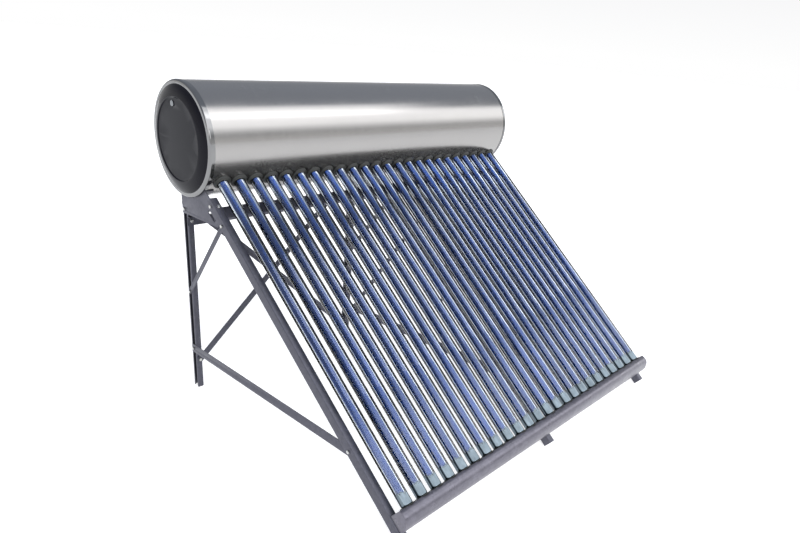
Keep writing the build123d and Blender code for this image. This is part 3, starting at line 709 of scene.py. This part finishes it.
class HeaterColours(bpy.types.PropertyGroup):
    shell: FloatVectorProperty(
        name="Shell", description="Brushed tank sheet", subtype="COLOR", default=(0.36, 0.35, 0.34)
    )
    band: FloatVectorProperty(
        name="Bands", description="Rolled end bands", subtype="COLOR", default=(0.24, 0.24, 0.24)
    )
    cap: FloatVectorProperty(
        name="Caps", description="Tank end caps", subtype="COLOR", default=(0.006, 0.006, 0.009)
    )
    coating: FloatVectorProperty(
        name="Coating", description="Absorber film", subtype="COLOR", default=(0.014, 0.050, 0.20)
    )
    getter: FloatVectorProperty(
        name="Getter", description="Silvered tail", subtype="COLOR", default=(0.17, 0.21, 0.24)
    )
    stand: FloatVectorProperty(
        name="Stand", description="Coated steel members", subtype="COLOR",
        default=(0.075, 0.075, 0.095),
    )
    rail: FloatVectorProperty(
        name="Rail", description="Tail rail", subtype="COLOR", default=(0.135, 0.13, 0.155)
    )
    rubber: FloatVectorProperty(
        name="Rubber", description="Dust rings and cups", subtype="COLOR",
        default=(0.012, 0.013, 0.012),
    )


class HeaterStudio(bpy.types.PropertyGroup):
    lens: FloatProperty(name="Lens", description="Focal length in mm", default=27.99)
    upward_shift: FloatProperty(name="Shift", description="Upward shift", default=0.0716)
    overhead: FloatProperty(name="Overhead", description="Overhead softbox", default=110.0)
    fill: FloatProperty(name="Fill", description="Fill softbox", default=60.0)
    sky: FloatProperty(name="Sky", description="Surrounding light", default=1.0)
    strip: FloatProperty(name="Strip", description="Long strip light over the front", default=2.1)


# ---------------------------------------------------------------- operators
class HEATER_OT_tank(bpy.types.Operator):
    """Tank shell, end bands, end caps, sensor plug, and what is inside the tank"""

    bl_idname = "heater.tank"
    bl_label = "Tank"

    def execute(self, context):
        tones = context.scene.heater_colours
        steel = brushed_stainless("brushed_shell", tones.shell)
        shell = finished_copy("tank_shell", "shell_sheet", [steel])
        self.round_normals(shell)
        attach(shell, "root")
        bright = polished_band("bright_band", tones.band)
        black = glossy_moulding("black_cap", tones.cap)
        for side in ("left", "right"):
            band = finished_copy(f"end_band_{side}", f"rolled_band_{side}", [bright], 0.0, 40.0)
            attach(band, "root")
            cap = finished_copy(f"end_cap_{side}", f"moulded_cap_{side}", [black], 0.0004, 24.0)
            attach(cap, "root")
        grey = matte_moulding("grey_plug", (0.16, 0.17, 0.18), 0.35)
        plug = finished_copy("sensor_plug", "push_in_plug", [grey], 0.0003)
        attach(plug, "root")
        inside = {
            "inner_tank": brushed_stainless("vessel_steel", (0.45, 0.45, 0.44), 0.15, 0.3),
            "insulation_foam": foam_block("rigid_foam", (0.80, 0.62, 0.30)),
            "anode_rod": coated_steel("cast_magnesium", (0.50, 0.50, 0.48), 0.9, 0.5),
        }
        for node, material in inside.items():
            paint(node, material)
        return {"FINISHED"}

    @staticmethod
    def round_normals(shell):
        """Gives the shell's curved faces their true round shading."""
        mesh = shell.data
        normals = []
        for polygon in mesh.polygons:
            for vertex in polygon.vertices:
                radial = mesh.vertices[vertex].co - TANK_CENTRE
                radial.x = 0.0
                radial.normalize()
                facing = polygon.normal.dot(radial)
                if facing > 0.97:
                    normals.append(radial)
                elif facing < -0.97:
                    normals.append(-radial)
                else:
                    normals.append(polygon.normal)
        mesh.normals_split_custom_set([tuple(normal) for normal in normals])


def paint(node, material):
    """Gives a CAD node that stays its finish."""
    shown = frame["nodes"][node]
    shown.data.materials.clear()
    shown.data.materials.append(material)


class HEATER_OT_tubes(bpy.types.Operator):
    """Evacuated tubes: clear outer glass and a coated inner tube on every tube body"""

    bl_idname = "heater.tubes"
    bl_label = "Evacuated tubes"

    def execute(self, context):
        sizes = context.scene.heater_sizes
        tones = context.scene.heater_colours
        across, reach, _ = spans(TUBES[0][1])
        radius = (across[1] - across[0]) / 2
        mouth, tip = reach
        bottom = tip - 0.012
        round_centre = bottom - radius
        glass = tube_glass("drawn_glass", bottom - sizes.getter_length, tones.getter)
        film_end = bottom - sizes.bare_tail - 0.008
        film = selective_coating("absorber_film", tones.coating, film_end)
        inner = radius - sizes.glass_wall
        outer_profile = (
            [(inner, mouth + 0.0018), (radius - 0.0004, mouth + 0.0016), (radius, mouth + 0.002)]
            + [(radius, mouth + 0.3), (radius, mouth + 0.9)]
            + arc((0.0, round_centre), radius, 0.0, 77.0, 9)
            + [(0.0042, bottom + 0.0008), (0.0028, bottom + 0.005), (0.0018, tip - 0.001)]
            + [(0.0009, tip), (0.0, tip)]
            + [(0.0, round_centre + inner)]
            + arc((0.0, round_centre), inner, 80.0, 0.0, 8)
            + [(inner, mouth + 0.9), (inner, mouth + 0.3)]
        )
        core = sizes.absorber_radius
        core_in = core - sizes.glass_wall
        core_bottom = bottom - sizes.glass_wall - 0.0091
        core_centre = core_bottom - core
        lip = mouth + 0.0015
        core_profile = (
            [(core_in, mouth + 0.0004), (core_in + 0.0006, mouth), (radius - 0.0008, mouth)]
            + [(radius, mouth + 0.0006), (radius, lip), (core + 0.0006, lip), (core, lip + 0.0006)]
            + [(core, mouth + 0.3), (core, mouth + 0.9)]
            + arc((0.0, core_centre), core, 0.0, 90.0, 8)
            + arc((0.0, core_centre), core_in, 90.0, 0.0, 7)
            + [(core_in, mouth + 0.9), (core_in, mouth + 0.3)]
        )
        shapes = []
        for profile in (outer_profile, core_profile):
            clean = [(max(0.0, r) if r > 1e-6 else 0.0, s) for r, s in profile]
            shapes.append(
                turned(
                    clean, Vector((0.0, TANK_CENTRE.y, TANK_CENTRE.z)), DOWNHILL, ALONG,
                    sizes.tube_segments, True,
                )
            )
        for body, node in TUBES:
            shift = Vector((tube_x(node), 0.0, 0.0))
            for label, (verts, faces), material in (
                ("glass", shapes[0], glass),
                ("absorber", shapes[1], film),
            ):
                piece = make_object(
                    f"{label}_{node}", [v + shift for v in verts], faces, [material]
                )
                smooth(piece, 50.0)
                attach(piece, body)
                if label == "glass":
                    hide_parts(node)
        return {"FINISHED"}


class HEATER_OT_rings(bpy.types.Operator):
    """Rubber dust rings on the shell and black cups in the tail rail, one for each tube"""

    bl_idname = "heater.rings"
    bl_label = "Rings and cups"

    def execute(self, context):
        tones = context.scene.heater_colours
        row = row_tree()
        first, second = tube_x(TUBES[0][1]), tube_x(TUBES[1][1])
        count, pitch = len(TUBES), second - first
        across, _, _ = spans(TUBES[0][1])
        bore = (across[1] - across[0]) / 2 + 0.0002
        start = on_slope(first, 0.0, 0.0)
        ring_reach = spans("dust_rings")
        wide = (ring_reach[2][1] - ring_reach[2][0]) / 2
        seat = TANK_RADIUS + 0.0003
        top = ring_reach[1][1]
        profile = (
            [(bore, ring_reach[1][0] + 0.001), (bore + 0.005, ring_reach[1][0])]
            + [(bore + 0.005, seat), (wide - 0.002, seat - 0.0001), (wide, seat + 0.0004)]
            + arc((wide - 0.0022, seat + 0.0022), 0.0022, 0.0, 90.0, 4)
            + [(wide - 0.005, seat + 0.0052), (bore + 0.0048, seat + 0.0058)]
            + [(bore + 0.0034, seat + 0.0066), (bore + 0.0030, top - 0.0008)]
            + [(bore + 0.0022, top), (bore + 0.0008, top), (bore, top - 0.0008)]
        )
        verts, faces = turned(profile, start, DOWNHILL, ALONG, 40, True)
        rubber = matte_moulding("ring_rubber", tones.rubber, 0.5, 700.0)
        rings = make_object("dust_ring_row", self.fitted(verts, start, seat), faces, [rubber])
        run_tree(rings, row, {"Count": count, "Pitch": pitch, "Material": rubber}, 40.0)
        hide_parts("dust_rings")
        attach(rings, "root")

        cup_reach = spans("tail_cups")
        flange = (cup_reach[2][1] - cup_reach[2][0]) / 2
        rim = cup_reach[1][0]
        plastic = matte_moulding("cup_plastic", [v * 1.4 for v in tones.rubber], 0.4, 900.0)
        bottom = spans(TUBES[0][1])[1][1] - 0.012
        radius = bore - 0.0002
        hollow = bore + 0.0001
        thick = hollow + 0.0028
        centre = bottom - radius
        profile = (
            [(hollow, rim + 0.0006), (hollow + 0.0008, rim), (flange - 0.0022, rim)]
            + [(flange - 0.0006, rim + 0.0008), (flange, rim + 0.0024)]
            + [(flange - 0.0003, rim + 0.003)]
            + [(thick + 0.001, rim + 0.003), (thick, rim + 0.004)]
            + [
                point
                for point in arc((0.0, centre), thick, 5.0, 69.0, 7)
                if point[1] > rim + 0.0045
            ]
            + [
                point
                for point in arc((0.0, centre), hollow, 69.0, 0.0, 7)
                if point[1] > rim + 0.001
            ]
        )
        verts, faces = turned(profile, start, DOWNHILL, ALONG, 40, True)
        cups = make_object("tail_cup_row", verts, faces, [plastic])
        run_tree(cups, row, {"Count": count, "Pitch": pitch, "Material": plastic}, 40.0)
        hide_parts("tail_cups")
        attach(cups, "root")
        paint("tube_seals", matte_moulding("seal_silicone", (0.45, 0.10, 0.06), 0.5, 800.0))
        return {"FINISHED"}

    @staticmethod
    def fitted(verts, start, seat):
        """Draws the ring's skirt down on to the round of the tank."""
        moved = []
        for vert in verts:
            rest = vert - start
            reach, off = rest.dot(DOWNHILL), rest.dot(OUTWARD)
            drop = seat - math.sqrt(max(seat**2 - off**2, 0.0))
            radius = math.hypot(rest.x, off)
            share = min(1.0, max(0.0, (radius - 0.029) / 0.006))
            if reach >= seat - 0.0005:
                moved.append(vert - DOWNHILL * drop * share)
            else:
                moved.append(vert)
        return moved


class HEATER_OT_rail(bpy.types.Operator):
    """Tail rail and its end plates"""

    bl_idname = "heater.rail"
    bl_label = "Tail rail"

    def execute(self, context):
        paintwork = coated_steel("rail_coating", context.scene.heater_colours.rail, 0.7, 0.30)
        rail = finished_copy("tail_rail", "folded_tail_rail", [paintwork], 0.0005, 28.0)
        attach(rail, "root")
        plates = finished_copy("rail_end_plates", "rail_end_caps", [paintwork], 0.0006, 28.0)
        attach(plates, "root")
        return {"FINISHED"}


class HEATER_OT_stand(bpy.types.Operator):
    """Folded legs and channels, flat ties, diagonals, braces and saddles"""

    bl_idname = "heater.stand"
    bl_label = "Stand"

    def execute(self, context):
        sizes = context.scene.heater_sizes
        steel = coated_steel("stand_coating", context.scene.heater_colours.stand)
        wall, bend, half = sizes.sheet_wall, sizes.bend, sizes.sheet_wall / 2
        made = []
        for side in SIDES:
            across, reach, off = spans(f"front_leg_{side}")
            left, right = across[0] + half, across[1] - half
            face = off[1] - half
            path = [(left, off[0]), (left, face), (right, face), (right, off[0])]
            leg = folded_member(
                f"sloping_leg_{side}", path, wall, bend,
                lambda u, v, t: on_slope(u, t, v), reach[0], reach[1], [steel],
            )
            made.append((leg, f"front_leg_{side}"))
            low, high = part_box(f"rear_leg_{side}")
            outer, inner = (high.x, low.x) if side == "right" else (low.x, high.x)
            turn = 1.0 if outer > inner else -1.0
            outer, inner = outer - turn * half, inner + turn * half
            front, back = low.y + half, high.y - half
            path = [(outer, front + sizes.lip - half), (outer, front), (inner, front)]
            path += [(inner, back), (outer, back), (outer, back - sizes.lip + half)]
            leg = folded_member(
                f"upright_leg_{side}", path, wall, bend,
                lambda u, v, t: Vector((u, v, t)), low.z, high.z, [steel],
            )
            made.append((leg, f"rear_leg_{side}"))
            for node, name in (
                ("side_tie", "level_tie"), ("side_diagonal", "side_strut"),
                ("saddle", "tank_saddle"),
            ):
                piece = finished_copy(f"{node}_{side}", f"{name}_{side}", [steel], 0.0004)
                made.append((piece, None))
        across, reach, off = spans("cross_channel")
        face = off[1] - half
        path = [(reach[0] + half, off[0]), (reach[0] + half, face)]
        path += [(reach[1] - half, face), (reach[1] - half, off[0])]
        channel = folded_member(
            "upper_cross_channel", path, wall, bend,
            lambda u, v, t: on_slope(t, u, v), across[0], across[1], [steel],
        )
        made.append((channel, "cross_channel"))
        low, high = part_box("rear_top_rail")
        path = [(low.y, high.z - half), (high.y - half, high.z - half), (high.y - half, low.z)]
        angle = folded_member(
            "upper_rear_angle", path, wall, bend,
            lambda u, v, t: Vector((t, u, v)), low.x, high.x, [steel],
        )
        made.append((angle, "rear_top_rail"))
        for node in ("rising_braces", "falling_braces"):
            made.append((finished_copy(node, f"flat_{node}", [steel], 0.0004), None))
        for piece, node in made:
            if node:
                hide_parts(node)
            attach(piece, "root")
        return {"FINISHED"}


class HEATER_OT_fasteners(bpy.types.Operator):
    """Hexagon bolts and nuts at every joint of the stand"""

    bl_idname = "heater.fasteners"
    bl_label = "Fasteners"

    def execute(self, context):
        sizes = context.scene.heater_sizes
        zinc = plated_steel("zinc_plating", (0.52, 0.53, 0.54))
        nuts = [block.mean(axis=0) for block in self.blocks("nuts")]
        places = []
        for block in self.blocks("bolts"):
            centre = block.mean(axis=0)
            nearest = min(nuts, key=lambda nut: float(np.linalg.norm(nut - centre)))
            way = nearest - centre
            way = way / np.linalg.norm(way)
            reach = (block - centre) @ way
            places.append((Vector(centre), Vector(way), float(reach.min()), float(reach.max())))
        nut_height = sizes.head_height * 1.2
        tail = 0.002
        groups = (
            (
                "bolt_heads", self.hexagon(sizes.head_width, sizes.head_height, True),
                [(c + w * (low + sizes.head_height), -w) for c, w, low, high in places], "bolts",
            ),
            (
                "hex_nuts", self.hexagon(sizes.head_width, nut_height, False),
                [(c + w * (high - tail - nut_height), w) for c, w, low, high in places], "nuts",
            ),
        )
        tree = fastener_tree()
        for name, (verts, faces), spots, node in groups:
            pattern = make_object(f"{name}_pattern", verts, faces, [zinc])
            field = bpy.data.objects.new(name, bpy.data.meshes.new(name))
            bpy.context.scene.collection.objects.link(field)
            field.data.from_pydata([tuple(spot[0]) for spot in spots], [], [])
            ways = field.data.attributes.new("direction", "FLOAT_VECTOR", "POINT")
            flat = [value for spot in spots for value in spot[1]]
            ways.data.foreach_set("vector", flat)
            run_tree(field, tree, {"Fastener": pattern, "Turn seed": 3, "Material": zinc})
            bpy.data.objects.remove(pattern)
            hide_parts(node)
            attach(field, "root")
        verts, faces = [], []
        for centre, way, low, high in places:
            across = way.orthogonal().normalized()
            profile = [(0.0, low + 0.004), (0.0039, low + 0.004), (0.0039, high - 0.0008)]
            profile += [(0.0032, high), (0.0, high)]
            more, sides = turned(profile, centre, way, across, 14, False)
            faces += [[index + len(verts) for index in face] for face in sides]
            verts += more
        shanks = smooth(make_object("bolt_shanks", verts, faces, [zinc]))
        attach(shanks, "root")
        return {"FINISHED"}

    @staticmethod
    def blocks(node):
        """The separate solids of a CAD node, as arrays of points."""
        work = bmesh.new()
        work.from_mesh(frame["nodes"][node].data)
        bmesh.ops.remove_doubles(work, verts=work.verts, dist=2e-5)
        left, found = set(work.verts), []
        while left:
            stack, group = [left.pop()], []
            while stack:
                vert = stack.pop()
                group.append(tuple(vert.co))
                for edge in vert.link_edges:
                    other = edge.other_vert(vert)
                    if other in left:
                        left.remove(other)
                        stack.append(other)
            found.append(np.array(group))
        work.free()
        return found

    @staticmethod
    def hexagon(width, height, capped):
        """A hexagon head or nut that stands on Z = 0, its top edge turned down by a chamfer."""
        radius = width / math.sqrt(3)
        rows = [(radius, 0.0), (radius, height - 0.0009), (width / 2 * 0.95, height)]
        rows.append((0.0, height) if capped else (0.0041, height))
        verts, rings = [], []
        for size, z in rows:
            if size == 0.0:
                rings.append([len(verts)] * 6)
                verts.append(Vector((0.0, 0.0, z)))
                continue
            rings.append(list(range(len(verts), len(verts) + 6)))
            for k in range(6):
                angle = math.pi * k / 3
                verts.append(Vector((size * math.cos(angle), size * math.sin(angle), z)))
        if not capped:
            rings.append(list(range(len(verts), len(verts) + 6)))
            for k in range(6):
                angle = math.pi * k / 3
                verts.append(Vector((0.0041 * math.cos(angle), 0.0041 * math.sin(angle), 0.0)))
            rings.append(rings[0])
        faces = [] if not capped else [list(reversed(rings[0]))]
        for one, two in zip(rings, rings[1:]):
            for k in range(6):
                loop = [one[k], one[(k + 1) % 6], two[(k + 1) % 6], two[k]]
                faces.append(list(dict.fromkeys(loop)))
        return verts, faces


class HEATER_OT_ports(bpy.types.Operator):
    """Water stubs at the back of the tank"""

    bl_idname = "heater.ports"
    bl_label = "Water ports"

    def execute(self, context):
        paint("water_ports", plated_steel("port_steel", (0.55, 0.54, 0.52)))
        return {"FINISHED"}


class HEATER_OT_stage(bpy.types.Operator):
    """Pale floor, soft lights and the camera"""

    bl_idname = "heater.stage"
    bl_label = "Stage"

    def execute(self, context):
        studio = context.scene.heater_studio
        self.floor()
        self.sky(context.scene, studio)
        centre = Vector((0.0, 0.0, TANK_CENTRE.z * 0.6))
        self.softbox(
            "overhead_softbox", centre, (0.10, -0.40, 0.90), 5.6, 9.0, 2.2, studio.overhead
        )
        self.softbox("fill_softbox", centre, (-0.25, -0.90, 0.35), 8.0, 5.0, 2.0, studio.fill)
        self.camera(context.scene, studio)
        context.scene.view_settings.view_transform = "Standard"
        return {"FINISHED"}

    @staticmethod
    def floor():
        material, tree = new_material("pale_floor")
        grain = noise(tree, 3.0, 5.0)
        shader = add(
            tree,
            "ShaderNodeBsdfPrincipled",
            {
                "Base Color": blend_colour(
                    tree,
                    spread(tree, grain, 0.0, 1.0),
                    (0.74, 0.74, 0.74, 1.0),
                    (0.77, 0.77, 0.77, 1.0),
                ),
                "Roughness": 0.9,
                "Specular IOR Level": 0.1,
                "Emission Color": (1.0, 1.0, 1.0, 1.0),
                "Emission Strength": 0.7,
            },
        ).outputs["BSDF"]
        finish_material(tree, shader)
        size = 60.0
        verts = [(-size, -size, 0.0), (size, -size, 0.0), (size, size, 0.0), (-size, size, 0.0)]
        ground = make_object("studio_floor", verts, [[0, 1, 2, 3]], [material])

    def sky(self, scene, studio):
        world = bpy.data.worlds.new("studio_air")
        scene.world = world
        world.use_nodes = True
        tree = world.node_tree
        tree.nodes.clear()
        way = add(tree, "ShaderNodeTexCoord").outputs["Generated"]
        height = add(tree, "ShaderNodeSeparateXYZ", {"Vector": way}).outputs["Z"]
        ramp = add(tree, "ShaderNodeValToRGB", {"Fac": height})
        stops = ramp.color_ramp.elements
        stops[0].position, stops[0].color = 0.0, (1.0, 1.0, 1.0, 1.0)
        stops[1].position, stops[1].color = 0.10, (0.92, 0.92, 0.93, 1.0)
        for place, tone in ((0.3, (0.36, 0.38, 0.42, 1)), (0.7, (0.46, 0.50, 0.58, 1))):
            stop = stops.new(place)
            stop.color = tone
        strip = self.long_strip(tree, way, studio.strip)
        lit = add(tree, "ShaderNodeMixRGB", {"Fac": 1.0}, blend_type="ADD")
        tree.links.new(ramp.outputs["Color"], lit.inputs["Color1"])
        tree.links.new(strip, lit.inputs["Color2"])
        back = add(tree, "ShaderNodeBackground", {"Color": lit.outputs["Color"]})
        back.inputs["Strength"].default_value = studio.sky
        out = add(tree, "ShaderNodeOutputWorld")
        tree.links.new(back.outputs["Background"], out.inputs["Surface"])

    @staticmethod
    def long_strip(tree, way, strength):
        """A long soft strip light along the tank, above the front of the heater."""
        parts = add(tree, "ShaderNodeSeparateXYZ", {"Vector": way})
        forward = add(
            tree, "ShaderNodeMath", {0: parts.outputs["Y"], 1: -1.0}, operation="MULTIPLY"
        ).outputs["Value"]
        lean = add(
            tree, "ShaderNodeMath", {0: forward, 1: parts.outputs["Z"]}, operation="ARCTAN2"
        ).outputs["Value"]
        quarter = spread(tree, lean, 0.0, 1.0, 0.0, math.pi / 2)
        ramp = add(tree, "ShaderNodeValToRGB", {"Fac": quarter})
        stops = ramp.color_ramp.elements
        stops[0].position, stops[0].color = 0.28, (0.0, 0.0, 0.0, 1.0)
        stops[1].position, stops[1].color = 0.84, (0.0, 0.0, 0.0, 1.0)
        for place in (0.40, 0.66):
            stop = stops.new(place)
            stop.color = (1.0, 1.0, 1.0, 1.0)
        level = add(tree, "ShaderNodeMixRGB", {"Fac": 1.0}, blend_type="MULTIPLY")
        tree.links.new(ramp.outputs["Color"], level.inputs["Color1"])
        level.inputs["Color2"].default_value = (strength, strength, strength, 1.0)
        return level.outputs["Color"]

    @staticmethod
    def softbox(name, centre, way, distance, width, depth, power):
        lamp = bpy.data.lights.new(name, "AREA")
        lamp.shape = "RECTANGLE"
        lamp.size, lamp.size_y = width, depth
        lamp.energy = power
        holder = bpy.data.objects.new(name, lamp)
        bpy.context.scene.collection.objects.link(holder)
        way = Vector(way).normalized()
        level = (ALONG - way * ALONG.dot(way)).normalized()
        turn = Matrix((level, way.cross(level), way)).transposed()
        holder.matrix_world = Matrix.Translation(centre + way * distance) @ turn.to_4x4()

    @staticmethod
    def camera(scene, studio):
        lens = bpy.data.cameras.new("front_left_view")
        lens.lens = studio.lens
        lens.shift_y = studio.upward_shift
        lens.clip_end = 200.0
        holder = bpy.data.objects.new("front_left_view", lens)
        scene.collection.objects.link(holder)
        yaw, pitch, roll = (math.radians(a) for a in (47.57, 24.71, 5.04))
        right = Vector((math.cos(yaw), -math.sin(yaw), 0.0))
        ahead = Vector(
            (math.sin(yaw) * math.cos(pitch), math.cos(yaw) * math.cos(pitch), -math.sin(pitch))
        )
        up = right.cross(ahead)
        across = right * math.cos(roll) + up * math.sin(roll)
        upward = up * math.cos(roll) - right * math.sin(roll)
        turn = Matrix((across, upward, -ahead)).transposed()
        place = TANK_CENTRE + Vector((-2.14828, -2.35954, 0.43629))
        holder.matrix_world = Matrix.Translation(place) @ turn.to_4x4()
        scene.camera = holder


class HEATER_PT_panel(bpy.types.Panel):
    """Lists the pieces of the heater"""

    bl_idname = "HEATER_PT_panel"
    bl_label = "Solar heater"
    bl_space_type = "VIEW_3D"
    bl_region_type = "UI"
    bl_category = "Solar heater"

    def draw(self, context):
        for group in ("heater_sizes", "heater_colours", "heater_studio"):
            settings = getattr(context.scene, group)
            box = self.layout.box()
            for name in settings.bl_rna.properties.keys():
                if name not in ("rna_type", "name"):
                    box.prop(settings, name)
        for operator in OPERATORS:
            self.layout.operator(operator.bl_idname)


OPERATORS = (
    HEATER_OT_tank,
    HEATER_OT_tubes,
    HEATER_OT_rings,
    HEATER_OT_rail,
    HEATER_OT_stand,
    HEATER_OT_fasteners,
    HEATER_OT_ports,
    HEATER_OT_stage,
)
GROUPS = (
    ("heater_sizes", HeaterSizes),
    ("heater_colours", HeaterColours),
    ("heater_studio", HeaterStudio),
)


def register():
    for name, group in GROUPS:
        bpy.utils.register_class(group)
        setattr(bpy.types.Scene, name, PointerProperty(type=group))
    for operator in OPERATORS:
        bpy.utils.register_class(operator)
    bpy.utils.register_class(HEATER_PT_panel)


def unregister():
    bpy.utils.unregister_class(HEATER_PT_panel)
    for operator in reversed(OPERATORS):
        bpy.utils.unregister_class(operator)
    for name, group in reversed(GROUPS):
        delattr(bpy.types.Scene, name)
        bpy.utils.unregister_class(group)


def main():
    register()
    for operator in OPERATORS:
        area, name = operator.bl_idname.split(".")
        getattr(getattr(bpy.ops, area), name)()


if __name__ == "__main__":
    main()
